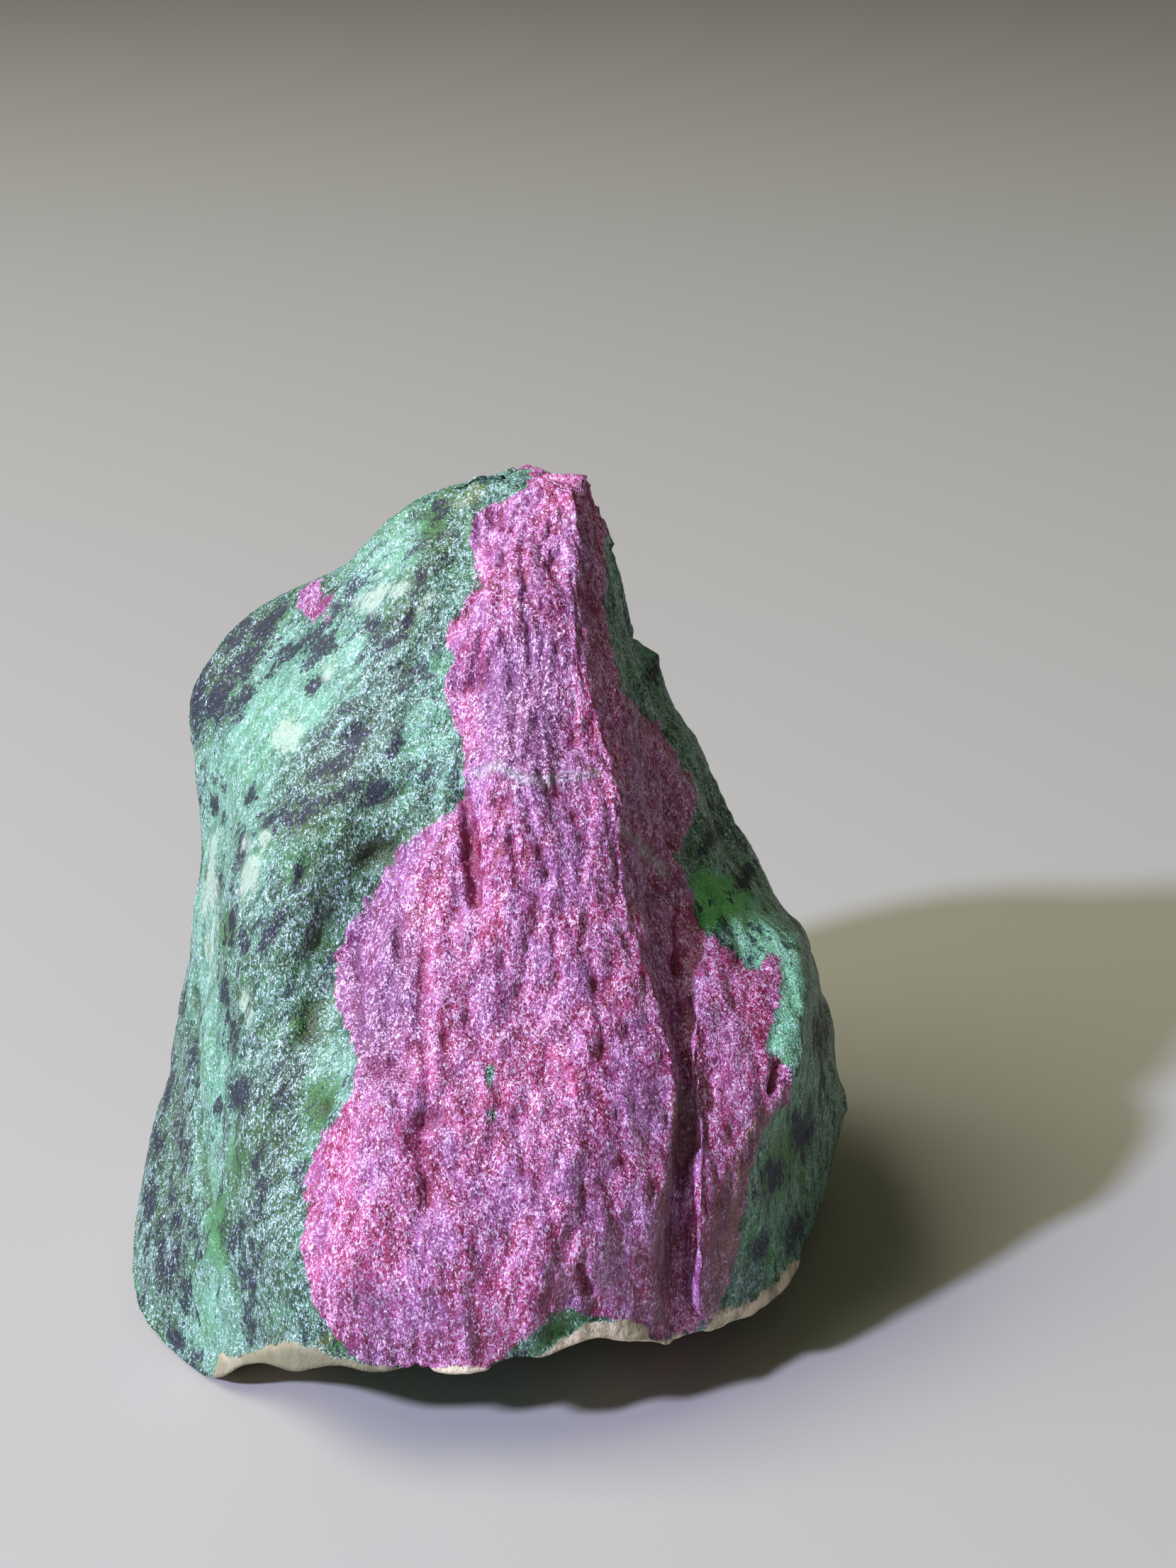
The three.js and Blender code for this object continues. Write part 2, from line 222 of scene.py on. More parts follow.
def depth_in_outline(points, outline):
    """Millimetres inside a closed outline that is given in pixels."""
    edge = distance_to_line(points, outline + outline[:1]) / PIXELS_PER_MM
    return np.where(inside_outline(points, outline), edge, -edge)


def depth_in_ovals(points, ovals):
    """Millimetres inside the nearest oval: x, y, half length, half width and degrees from upright."""
    deepest = np.full(len(points), FAR_OUTSIDE)
    for x, y, length, width, lean in ovals:
        angle = math.radians(lean)
        along = np.array([math.sin(angle), -math.cos(angle)])
        across = np.array([math.cos(angle), math.sin(angle)])
        offset = points - (x, y)
        reach = np.hypot(offset @ along / length, offset @ across / width)
        deepest = np.maximum(deepest, (1 - reach) * width / PIXELS_PER_MM)
    return deepest


def depth_in_balls(points, balls):
    """Millimetres inside the nearest stretched ball. Each has its middle and three half sizes, in mm."""
    deepest = np.full(len(points), FAR_OUTSIDE)
    for middle, halves in balls:
        reach = np.linalg.norm((points / MM - middle) / halves, axis=1)
        deepest = np.maximum(deepest, (1 - reach) * min(halves))
    return deepest


# %% The ruby mass
RUBY_OUTLINE = [
    (763, 640), (743, 684), (724, 699), (669, 719), (660, 763), (675, 818), (636, 874), (630, 900),
    (639, 922), (628, 968), (628, 1001), (647, 1045), (655, 1117), (641, 1145), (597, 1167), (559, 1200),
    (525, 1255), (487, 1316), (476, 1344), (473, 1416), (492, 1471), (500, 1499), (498, 1537),
    (448, 1598), (426, 1670), (420, 1759), (437, 1836), (476, 1891), (520, 1930), (563, 1934),
    (592, 1945), (690, 1940), (725, 1911), (772, 1868), (795, 1848), (828, 1856), (879, 1866),
    (925, 1894), (961, 1890), (1014, 1863), (1030, 1811), (1045, 1756), (1054, 1710), (1060, 1664),
    (1076, 1609), (1094, 1572), (1118, 1560), (1120, 1512), (1095, 1488), (1078, 1485), (1093, 1449),
    (1104, 1414), (1103, 1350), (1091, 1338), (1071, 1368), (1054, 1361), (1043, 1338), (1024, 1333),
    (1009, 1317), (1000, 1325), (984, 1296), (976, 1243), (957, 1210), (978, 1162), (987, 1136),
    (984, 1105), (950, 1052), (936, 1019), (913, 1000), (880, 972), (871, 940), (868, 905), (860, 873),
    (860, 815), (857, 735), (860, 690), (800, 640),
]
SMALL_RUBY = [(414, 862), (420, 832), (446, 812), (460, 834), (452, 862), (430, 872)]
RUBY_BALLS = [
    ((7, 6, 82), (6, 9, 7)),
    ((-6, 27, 40), (9, 12, 17)),
    ((-1, 28, 22), (7, 10, 12)),
    ((20, 22, 30), (5, 7, 11)),
]
SEAM = [(880, 1168), (901, 1185), (927, 1217), (945, 1232)]
VEIN = [(671, 1089), (701, 1080), (736, 1098), (765, 1101), (795, 1098), (842, 1089)]
VEIN_HALF_WIDTH = 0.35
GREEN_IN_RUBY = [(691, 1515, 11, 7, 0), (697, 1573, 14, 8, 10)]

FURROW = [(952, 1340), (962, 1420), (962, 1500), (968, 1600), (962, 1700), (950, 1800), (945, 1860)]
FRONT_FOLD = 4.5
HIDDEN, VISIBLE = -0.05, 0.12
MARK_REACH = 6.0
RAGGED_SIZE, RAGGED_REACH = 5.5, 4.5

furrow_distance = distance_to_line(pixels, FURROW) / PIXELS_PER_MM
in_fold = (furrow_distance < FRONT_FOLD) & (places[:, 1] < 0)
seen = np.where(in_fold, 1.0, smooth_step(HIDDEN, VISIBLE, facing))
nowhere = np.full(len(places), -MARK_REACH)
near_edge = np.full(len(places), -1.0)


def seen_or_hidden(front, back):
    """Takes the picture's outlines where the camera sees the stone, and the back's balls elsewhere."""
    front = np.clip(front, -MARK_REACH, MARK_REACH)
    return seen * front + (1 - seen) * np.clip(back, -MARK_REACH, MARK_REACH)


# Noise bends the smooth edges of the balls by some millimetres, so that they look broken.
ragged = RAGGED_REACH * np.array([noise.noise(Vector(place / MM / RAGGED_SIZE)) for place in places])
small_ruby = depth_in_outline(pixels, SMALL_RUBY) + ragged * 0.3
ruby_front = np.maximum(depth_in_outline(pixels, RUBY_OUTLINE), small_ruby)
vein_distance = np.minimum(distance_to_line(pixels, VEIN), distance_to_line(pixels, SEAM)) / PIXELS_PER_MM
vein = seen * (1 - smooth_step(VEIN_HALF_WIDTH, 2 * VEIN_HALF_WIDTH, vein_distance))
ruby_front = np.minimum(ruby_front, -depth_in_ovals(pixels, GREEN_IN_RUBY))
ruby = seen_or_hidden(ruby_front, depth_in_balls(places, RUBY_BALLS) + ragged)
print("share of the stone that is ruby:", round(float((ruby > 0).mean()), 2))

# %% Hornblende, feldspar and the shades of green
HORNBLENDE = [
    (620, 708, 18, 8, 25), (588, 822, 30, 11, 20), (570, 868, 22, 8, 30), (522, 885, 12, 8, 30),
    (545, 905, 18, 8, 60), (470, 856, 18, 9, 50), (455, 905, 38, 10, 50), (420, 905, 60, 12, 50),
    (370, 880, 40, 14, 35), (345, 930, 50, 14, 45), (318, 905, 30, 12, 40), (300, 985, 44, 16, 15),
    (272, 985, 50, 12, 5), (335, 985, 30, 10, 40), (440, 960, 20, 11, 50), (553, 1050, 14, 9, 20),
    (500, 1040, 20, 10, 50), (530, 1115, 24, 12, 50), (492, 1108, 14, 9, 30), (470, 1125, 26, 8, 60),
    (425, 1150, 26, 10, 50), (398, 1139, 20, 9, 15), (372, 1155, 24, 12, 30), (293, 1139, 16, 8, -20),
    (345, 1120, 16, 8, 10), (334, 1205, 40, 9, 0), (300, 1240, 24, 6, 5), (318, 1300, 34, 7, 5),
    (340, 1340, 26, 7, -5), (310, 1400, 40, 9, -5), (322, 1460, 24, 8, 0), (330, 1545, 30, 17, 0),
    (300, 1560, 12, 7, 0), (380, 1310, 24, 8, 25), (415, 1240, 14, 8, 20), (262, 1480, 26, 6, 0),
    (245, 1420, 20, 6, 8), (228, 1530, 30, 8, 8), (215, 1610, 26, 8, 4), (250, 1600, 40, 6, 0),
    (205, 1690, 30, 9, 0), (240, 1720, 36, 7, -4), (225, 1790, 40, 9, -8), (255, 1830, 36, 8, -8),
    (245, 1895, 20, 8, -20), (270, 1770, 30, 6, -8), (340, 1810, 20, 9, -10), (342, 1860, 24, 8, -10),
    (330, 1740, 16, 8, 0), (360, 1640, 18, 7, 10), (1165, 1330, 30, 12, -20), (1180, 1400, 24, 10, -10),
    (1165, 1460, 30, 9, 0), (1140, 1600, 34, 14, 15), (1100, 1660, 28, 14, 20), (1130, 1740, 30, 12, 25),
    (1080, 1760, 22, 12, 20), (990, 1290, 20, 9, 30), (1010, 1180, 24, 8, 35), (930, 940, 22, 9, 25),
    (1060, 1230, 30, 9, 40),
]
HORNBLENDE_BALLS = [
    ((-30, 12, 55), (6, 8, 10)), ((-24, 19, 35), (8, 5, 12)), ((-35, 8, 12), (4, 9, 9)),
    ((9, 26, 50), (7, 4, 13)), ((26, 20, 16), (8, 5, 7)), ((-15, 27, 12), (9, 4, 6)),
    ((2, 20, 68), (6, 5, 6)), ((33, 12, 8), (5, 8, 5)),
]
FELDSPAR = [
    (398, 1034, 24, 20, 20), (459, 946, 14, 12, 0), (345, 1232, 44, 15, 5), (290, 1250, 50, 8, 3),
    (338, 1412, 20, 8, -10), (365, 1180, 14, 8, 20), (520, 840, 24, 12, 60), (600, 850, 18, 7, 50),
    (678, 1777, 12, 5, 0), (286, 1340, 26, 6, 0), (905, 1190, 18, 4, -70), (560, 830, 14, 7, 60),
]
FELDSPAR_BALLS = [
    ((-20, 25, 46), (4, 3, 7)), ((17, 26, 18), (5, 3, 4)), ((6, 27, 60), (3, 3, 5)),
]
VIVID_GREEN = [
    (300, 1735, 52, 13, 2), (314, 1309, 20, 8, 0), (446, 1555, 40, 18, 15), (330, 1640, 24, 10, 0),
    (610, 735, 24, 14, 20), (424, 1440, 30, 12, 20), (1110, 1640, 40, 20, 20), (480, 1900, 26, 10, 80),
    (780, 1890, 44, 9, 55),
]
VIVID_OUTLINE = [
    (983, 1222), (1010, 1225), (1036, 1236), (1061, 1250), (1066, 1275), (1040, 1288), (1020, 1310),
    (992, 1302), (983, 1267),
]
OCHRE = [
    (669, 688, 14, 11, 20), (570, 860, 15, 8, 10), (655, 700, 18, 6, 60), (462, 1893, 22, 9, 70),
    (410, 1925, 40, 8, 85),
]

hornblende_back = depth_in_balls(places, HORNBLENDE_BALLS) * 0.5 + ragged - 1
hornblende = seen_or_hidden(depth_in_ovals(pixels, HORNBLENDE), hornblende_back)
feldspar_back = depth_in_balls(places, FELDSPAR_BALLS) + ragged * 0.6
feldspar = seen_or_hidden(depth_in_ovals(pixels, FELDSPAR), feldspar_back)
vivid_front = np.maximum(depth_in_ovals(pixels, VIVID_GREEN), depth_in_outline(pixels, VIVID_OUTLINE))
vivid_green = seen_or_hidden(vivid_front, nowhere)
ochre = seen_or_hidden(depth_in_ovals(pixels, OCHRE), nowhere)
print("marks that the camera sees:", len(HORNBLENDE) + len(FELDSPAR) + len(VIVID_GREEN) + len(OCHRE))

# %% How pale or dark the green is, with painted shade, and where its streaks lean
# The two pale ovals near x 1100 lighten the shaded right side: painted light.
PALE_GREEN = [
    (330, 1150, 150, 60, 5), (290, 1420, 260, 30, 0), (540, 790, 60, 30, 40), (420, 960, 130, 70, 40),
    (600, 1010, 90, 40, 10), (1100, 1330, 80, 34, -25), (300, 1850, 90, 50, 0), (480, 1500, 60, 24, 10),
    (755, 1092, 95, 12, 88), (912, 1198, 50, 12, -45), (905, 850, 110, 24, -20), (1100, 1470, 60, 24, 0),
]
# The mint outline is a lit patch painted on the right side: it is made pale and, with the lighter mark, up to
# twice as light.
MINT_PAINTED_LIGHT_OUTLINE = [
    (1029, 1300), (1045, 1278), (1075, 1272), (1100, 1300), (1135, 1330), (1147, 1388), (1130, 1455),
    (1098, 1490), (1080, 1492), (1095, 1440), (1102, 1390), (1108, 1345), (1100, 1330), (1075, 1368),
    (1048, 1345),
]
# The dusky ovals darken the rock. This is partly darker stone and partly painted shade in hollows, on the
# ruby, on the right flank and under the left foot.
DUSKY_AND_SHADE = [
    (290, 930, 130, 70, 40), (232, 1660, 260, 40, 2), (455, 1110, 120, 60, 50), (560, 870, 70, 36, 20),
    (320, 1300, 130, 26, 0), (370, 1650, 220, 50, 5), (515, 1200, 90, 34, 60), (430, 1290, 90, 40, 40),
    (435, 1440, 60, 26, 15), (447, 1560, 40, 24, 30), (525, 1400, 150, 60, 3), (740, 1000, 140, 60, 0),
    (1165, 1500, 160, 20, 0), (1030, 1120, 90, 20, 30), (430, 1930, 150, 44, 90), (437, 842, 30, 30, 0),
    (560, 960, 60, 26, 20), (620, 760, 70, 26, 25), (1120, 1625, 70, 40, 20),
]
SKIN_OUTLINES = [
    [
        (1100, 1555), (1060, 1580), (1035, 1640), (1015, 1700), (1003, 1760), (1000, 1868), (1022, 1852),
        (1035, 1805), (1052, 1755), (1062, 1690), (1072, 1620), (1105, 1575),
    ],
    [
        (948, 1540), (975, 1530), (985, 1600), (965, 1650), (950, 1680), (955, 1740), (950, 1800),
        (948, 1866), (925, 1872), (925, 1760), (935, 1690), (950, 1620),
    ],
]
LIGHTER = [(1120, 1640, 160, 60, 10), (1060, 1870, 120, 26, 60)]
SHOULDER = [
    (400, 900, 260, 190, 40), (480, 1080, 190, 120, 50), (410, 1400, 300, 90, 5), (390, 1750, 160, 60, 10),
]
SHOULDER_HEIGHT = 60
SLIGHTLY_OUTSIDE = -0.5

pale_front = np.maximum(depth_in_ovals(pixels, PALE_GREEN), depth_in_outline(pixels, MINT_PAINTED_LIGHT_OUTLINE) * 2.5)
pale = smooth_step(-3, 3, seen_or_hidden(pale_front, near_edge))
dusky_and_shade_back = np.full(len(places), SLIGHTLY_OUTSIDE)
dusky_and_shade = smooth_step(-2, 2, seen_or_hidden(depth_in_ovals(pixels, DUSKY_AND_SHADE), dusky_and_shade_back))
lighter_front = depth_in_ovals(pixels, LIGHTER)
for outline in (MINT_PAINTED_LIGHT_OUTLINE, VIVID_OUTLINE):
    lighter_front = np.maximum(lighter_front, depth_in_outline(pixels, outline))
lighter = smooth_step(-1.0, 1.0, seen_or_hidden(lighter_front, near_edge))
skin_front = np.maximum(*(depth_in_outline(pixels, outline) for outline in SKIN_OUTLINES))
skin = smooth_step(-0.6, 0.8, seen_or_hidden(skin_front, near_edge))
leaning_back = places[:, 2] / MM - SHOULDER_HEIGHT
leaning = smooth_step(-3, 3, seen_or_hidden(depth_in_ovals(pixels, SHOULDER), leaning_back))
print("mean paleness:", pale.mean().round(2), "and duskiness:", dusky_and_shade.mean().round(2))

# %% The crust along the foot
LEFT_CRUST = [
    (296, 1950), (304, 1912), (345, 1914), (375, 1898), (410, 1894), (436, 1904), (478, 1916),
    (520, 1926), (560, 1938), (560, 1955), (400, 1965),
]
RIGHT_CRUST = [
    (745, 1940), (780, 1902), (806, 1886), (825, 1869), (866, 1868), (885, 1861), (898, 1868),
    (917, 1872), (922, 1910), (870, 1915), (800, 1935),
]
CRUST_LINE = [
    (540, 1934), (568, 1944), (595, 1948), (633, 1938), (668, 1938), (702, 1944), (752, 1933),
    (786, 1914), (831, 1897), (893, 1900), (941, 1900), (955, 1893), (996, 1890), (1020, 1864),
    (1058, 1850), (1082, 1835), (1113, 1811), (1124, 1787),
]
CRUST_THICK = 0.7
BACK_CRUST_HEIGHT, BACK_CRUST_DEPTH = 4.5, 0.6
TURNED_AWAY, GRAZING = -0.7, -0.4

crust_front = CRUST_THICK - distance_to_line(pixels, CRUST_LINE) / PIXELS_PER_MM
for outline in (LEFT_CRUST, RIGHT_CRUST):
    crust_front = np.maximum(crust_front, depth_in_outline(pixels, outline))
# The back has a plain low band of crust in place of drawn outlines.
crust_back = np.minimum(BACK_CRUST_HEIGHT - places[:, 2] / MM, BACK_CRUST_DEPTH)
behind = 1 - smooth_step(TURNED_AWAY, GRAZING, facing)
crust = (1 - behind) * np.clip(crust_front, -MARK_REACH, MARK_REACH) + behind * crust_back
print("crust reaches", round(float((crust > 0).mean()), 3), "of the stone")

# %% [markdown]
# ## Small relief
#
# The rock splits along its fabric, so its surface is a bundle of upright lenses, 2 to 4 mm wide and 10 to
# 20 mm tall, with short pits between them. A texture could fake this, but the low light shows real depth.
# Each vertex is moved along its normal by noise that is stretched along the fabric, most in the ruby, which
# broke more deeply. Whatever isn't ruby also lies 0.35 mm lower.


# %% Noise that is stretched along the fabric
def leaning_places(points, lean):
    """The places in mm, turned about the Y axis so that the fabric stands upright."""
    sine, cosine = math.sin(lean), math.cos(lean)
    x, y, z = points.T / MM
    return np.stack([x * cosine - z * sine, y, x * sine + z * cosine], 1)


SHOULDER_LEAN = math.radians(42)
upright = leaning_places(places, 0)
slanted = leaning_places(places, SHOULDER_LEAN)


def fabric_noise(size, stretch, shift):
    """Noise from -1 to 1 in lenses that are size mm wide and stretch times as tall."""
    scale = np.array([1 / size, 1 / size, 1 / (size * stretch)])
    values = np.empty(len(places))
    for i, (straight, leant, share) in enumerate(zip(upright * scale, slanted * scale, leaning)):
        value = 0
        if share < 1:
            value += (1 - share) * noise.noise(Vector(straight + shift))
        if share > 0:
            value += share * noise.noise(Vector(leant + shift))
        values[i] = value
    return values


def grooved(values):
    """0 in narrow grooves and 1 on the round lenses between them."""
    return np.minimum(np.abs(values) * 2.4, 1) ** 0.8


lenses = grooved(fabric_noise(2.4, 5.0, 11))
streaks = grooved(fabric_noise(1.1, 3.5, 37))
grains = fabric_noise(0.7, 1.5, 71)
pit_noise = fabric_noise(1.3, 4.0, 93)
print("mean of the lenses:", lenses.mean().round(2), "and of the streaks:", streaks.mean().round(2))

# %% The relief, in mm
SLOTS = [
    ([(652, 1120), (660, 1172), (669, 1272)], 0.9, 1.0),
    ([(597, 1345), (588, 1430), (602, 1500), (600, 1560), (594, 1620), (600, 1700)], 0.8, 0.5),
    ([(553, 1290), (561, 1350)], 0.6, 0.6),
    ([(500, 1330), (502, 1440)], 0.6, 0.6),
    ([(835, 1350), (845, 1420), (857, 1490)], 0.7, 0.5),
    ([(765, 1515), (775, 1535)], 1.0, 0.4),
    ([(738, 1650), (742, 1675)], 0.7, 0.4),
    ([(820, 1795), (830, 1822)], 0.8, 1.2),
    ([(1098, 1500), (1090, 1540)], 0.6, 0.9),
    ([(955, 1350), (962, 1372)], 0.7, 0.6),
    ([(268, 1400), (272, 1600), (290, 1730), (330, 1840)], 0.45, 0.6),
    ([(630, 975), (690, 958)], 0.4, 0.5),
    ([(703, 712), (708, 745)], 0.4, 0.4),
    ([(740, 860), (745, 950)], 0.4, 0.35),
    ([(872, 962), (905, 992), (945, 1030)], 0.35, 0.35),
    ([(1150, 1600), (1140, 1690)], 0.5, 0.5),
]
DIPS = [
    (530, 1208, 48, 26, 60, 1.1), (540, 1125, 50, 16, 60, 0.5), (427, 1235, 40, 18, 15, 0.6),
    (450, 1335, 42, 22, 35, 0.7), (435, 1440, 48, 18, 15, 0.6), (447, 1560, 30, 18, 30, 0.6),
    (500, 1040, 28, 12, 40, 0.4), (575, 880, 34, 12, 20, 0.4), (385, 1125, 34, 12, 35, 0.3),
    (325, 1555, 36, 18, 0, 0.3),
]
DEEPEST_LENS, DEEPEST_STREAK, GRAIN_HEIGHT, PIT_DEPTH, RUBY_STEP = 0.45, 0.22, 0.1, 0.3, 0.35
PITS_IN_GREEN, RELIEF_IN_GREEN = 0.35, 0.65
CRUST_EVENNESS = 0.8
FOOT_START, FOOT_END = 0.1, 2.0

is_ruby = smooth_step(-0.3, 0.3, ruby)
pits = smooth_step(0.22, 0.5, pit_noise) * (PITS_IN_GREEN + (1 - PITS_IN_GREEN) * is_ruby)
slot_depth = np.zeros(len(places))
for line, half_width, deep in SLOTS:
    reach = distance_to_line(pixels, line) / PIXELS_PER_MM / half_width
    slot_depth = np.maximum(slot_depth, deep * (1 - smooth_step(0.2, 1, reach)))
for x, y, length, width, lean, deep in DIPS:
    share = smooth_step(0, width / PIXELS_PER_MM, depth_in_ovals(pixels, [(x, y, length, width, lean)]))
    slot_depth = np.maximum(slot_depth, deep * share)
slot_depth *= seen

# All the relief is pressed inwards, apart from the grains, and fades out towards the flat foot.
sunk = DEEPEST_LENS * (1 - lenses) + DEEPEST_STREAK * (1 - streaks) + PIT_DEPTH * pits
share = RELIEF_IN_GREEN + (1 - RELIEF_IN_GREEN) * is_ruby
rise = (GRAIN_HEIGHT * grains - sunk) * share - slot_depth
rise += RUBY_STEP * (smooth_step(-0.5, 0.25, ruby) - 1)
rise *= 1 - CRUST_EVENNESS * smooth_step(-0.3, 0.3, crust)
above_foot = smooth_step(FOOT_START, FOOT_END, places[:, 2] / MM)
moved = places + normals * (rise * above_foot * MM)[:, None]
moved = np.clip(moved, *(np.array(corner) for corner in cad_box))
stone.data.vertices.foreach_set("co", moved.ravel())
stone.data.update()
print("relief in mm runs from", rise.min().round(2), "to", rise.max().round(2))


# %% Marks and depths, kept on the vertices for the material
def keep(name, values):
    attribute = stone.data.attributes.new(name, "FLOAT", "POINT")
    attribute.data.foreach_set("value", np.ascontiguousarray(values, np.float32))


# The depth mark is painted shade: the deeper the pits, furrows and slots, the darker the material paints
# them.
depth = smooth_step(0.3, 1.1, sunk + slot_depth)
for name, values in {
    "ruby": ruby,
    "vein": vein,
    "hornblende": hornblende,
    "feldspar": feldspar,
    "vivid_green": vivid_green,
    "ochre": ochre,
    "crust": crust,
    "pale": pale,
    "dusky_and_shade": dusky_and_shade,
    "skin": skin,
    "lighter": lighter,
    "leaning": leaning,
    "depth": depth,
}.items():
    keep(name, values)
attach(stone, "root")
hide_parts("rough_ruby")
print("kept:", [attribute.name for attribute in stone.data.attributes if attribute.data_type == "FLOAT"])

# %% [markdown]
# ## Writing materials as sums
#
# A material is a web of nodes. To read it as a recipe, one small class wraps a socket: adding or multiplying
# two of them makes the Math node, and one method makes any other node.


# %% A socket that does sums
class Wire:
    """An output socket in a material. Sums on it add Math nodes."""

    def __init__(self, tree, socket=None):
        self.tree = tree
        self.socket = socket

    def node(self, kind, settings=None, sockets=None, output=0):
        """Adds a node: its settings first, then the values or wires of its sockets."""
        made = self.tree.nodes.new(kind)
        for name, value in (settings or {}).items():
            setattr(made, name, value)
        for name, value in (sockets or {}).items():
            if isinstance(value, Wire):
                self.tree.links.new(value.socket, made.inputs[name])
            else:
                made.inputs[name].default_value = value
        return Wire(self.tree, made.outputs[output])

    def sum(self, operation, first, second=0.0):
        return self.node("ShaderNodeMath", {"operation": operation}, {0: first, 1: second})

    def __add__(self, other):
        return self.sum("ADD", self, other)

    __radd__ = __add__

    def __sub__(self, other):
        return self.sum("SUBTRACT", self, other)

    def __rsub__(self, other):
        return self.sum("SUBTRACT", other, self)

    def __mul__(self, other):
        return self.sum("MULTIPLY", self, other)

    __rmul__ = __mul__

    def larger(self, other):
        return self.sum("MAXIMUM", self, other)

    def magnitude(self):
        return self.sum("ABSOLUTE", self)

    def above(self, low, high):
        """0 below low, 1 above high, and a smooth rise between."""
        return self.node(
            "ShaderNodeMapRange",
            {"interpolation_type": "SMOOTHSTEP"},
            {"Value": self, "From Min": low, "From Max": high},
        )

    def mix(self, first, second):
        """This wire as the share of a second colour over a first one."""
        return self.node("ShaderNodeMix", {"data_type": "RGBA"}, {0: self, 6: first, 7: second}, 2)


def rgb(red, green, blue):
    """A colour as screens count it, 0 to 255, turned to the light that Blender counts."""
    def light(level):
        level /= 255
        return level / 12.92 if level <= 0.04045 else ((level + 0.055) / 1.055) ** 2.4

    return (light(red), light(green), light(blue), 1)


print("rose as light:", [round(level, 3) for level in rgb(190, 80, 130)])

# %% [markdown]
# ## Patterns of the rock
#
# All patterns are read in Object coordinates, in metres, so they stay fixed in the rock. The fabric stands
# upright in the ruby and leans on the left shoulder, so each streaky pattern is made twice, and the "leaning"
# mark blends them.

# %% Fabric patterns
stone_material.use_nodes = True
stone_material.node_tree.nodes.clear()
make = Wire(stone_material.node_tree)
position = make.node("ShaderNodeTexCoord", output=3)


def mark(name):
    return make.node("ShaderNodeAttribute", {"attribute_name": name}, output=2)


def along_fabric(stretch, lean=0.0):
    """Coordinates in mm, drawn out along the fabric."""
    return make.node(
        "ShaderNodeMapping",
        {"vector_type": "TEXTURE"},
        {"Vector": position, "Rotation": (0, lean, 0), "Scale": (MM, MM, stretch * MM)},
    )


leaning_mark = mark("leaning").above(0.4, 0.6)
FIRM_STRETCH = 2.0


def cloud(size, stretch=1.0, detail=2.0, roughness=0.5, distortion=0.0):
    """Soft noise, 0 to 1, of a size in mm. What is drawn out strongly is made both upright and leaning."""
    settings = {"Scale": 1 / size, "Detail": detail, "Roughness": roughness, "Distortion": distortion}
    straight = make.node("ShaderNodeTexNoise", None, {"Vector": along_fabric(stretch), **settings})
    if stretch < FIRM_STRETCH:
        return straight
    lean_way = along_fabric(stretch, SHOULDER_LEAN)
    leant = make.node("ShaderNodeTexNoise", None, {"Vector": lean_way, **settings})
    return straight + (leant - straight) * leaning_mark


zones = cloud(7.0, 1.6)
blotches = cloud(3.2, 2.2, 3.0)
fabric = cloud(1.2, 3.2, 3.0)
spots = cloud(1.7, 2.4, 2.0)
fissures = cloud(0.8, 6.0, 2.0)
grain = cloud(0.45, 1.8, 3.0, 0.6)
needles = cloud(0.22, 1.9, 2.0, 0.5, 0.8)
curls = cloud(0.4, 1.8, 2.0, 0.6, 1.0)
print("nodes so far:", len(stone_material.node_tree.nodes))

# %% [markdown]
# The edges between minerals aren't drawn lines. Noise moves each edge in and out by up to a millimetre, and
# the grain breaks it up.

# %% Where each mineral shows
wander = (cloud(2.2, 1.5) - 0.5) * 1.8 + (fabric - 0.5) * 1.4 + (grain - 0.5) * 1.4
ruby_share = (mark("ruby") + wander * 0.8 + (fissures - 0.5) * 1.2).above(-0.2, 0.2)
hornblende_edge = mark("hornblende") + wander + (fabric - 0.5) * 1.5
hornblende_share = (hornblende_edge + (grain - 0.5) * 1.5).above(-0.2, 0.25)
feldspar_share = (mark("feldspar") + wander * 1.1).above(-0.3, 0.35)
vivid_share = (mark("vivid_green") + wander * 1.0).above(-0.7, 0.7)
ochre_share = (mark("ochre") + wander).above(-0.5, 0.5)
crust_share = (mark("crust") + wander * 0.45).above(-0.1, 0.15)
pale_share = (mark("pale") + (blotches - 0.5) * 1.1 + (fabric - 0.5) * 0.8).above(0.1, 0.9)
dusky_and_shade_share = mark("dusky_and_shade")
skin_share = mark("skin")
recess_shade_share = mark("depth")

# %% [markdown]
# ## The minerals' colours
#
# Each mineral is a stack of mixes of two colours, and the patterns above give their shares. On the right
# flank, which lies in shade, the "lighter" mark makes the green rock up to twice as light. That is paint
# doing the work of light, and it looks pale from other sides.

# %% Zoisite, hornblende and feldspar
DARK_GREEN = rgb(30, 64, 44)
SEA_GREEN = rgb(70, 120, 94)
MINT = rgb(118, 180, 152)
VIVID = rgb(70, 136, 70)
OCHRE_GREEN = rgb(130, 124, 66)
OLIVE_SHADE = rgb(50, 72, 38)
HORNBLENDE_BLACK = rgb(14, 18, 44)
FELDSPAR_WHITE = rgb(184, 204, 188)

green = (fabric + (grain - 0.5) * 0.8).above(0.36, 0.62).mix(DARK_GREEN, SEA_GREEN)
green = (pale_share * (0.1 + 1.1 * fabric)).mix(green, MINT)
green = (vivid_share * (0.3 + 0.7 * fabric)).mix(green, VIVID)
green = (blotches.above(0.5, 0.64) * 0.4).mix(green, VIVID)
green = (ochre_share * 0.6).mix(green, OCHRE_GREEN)
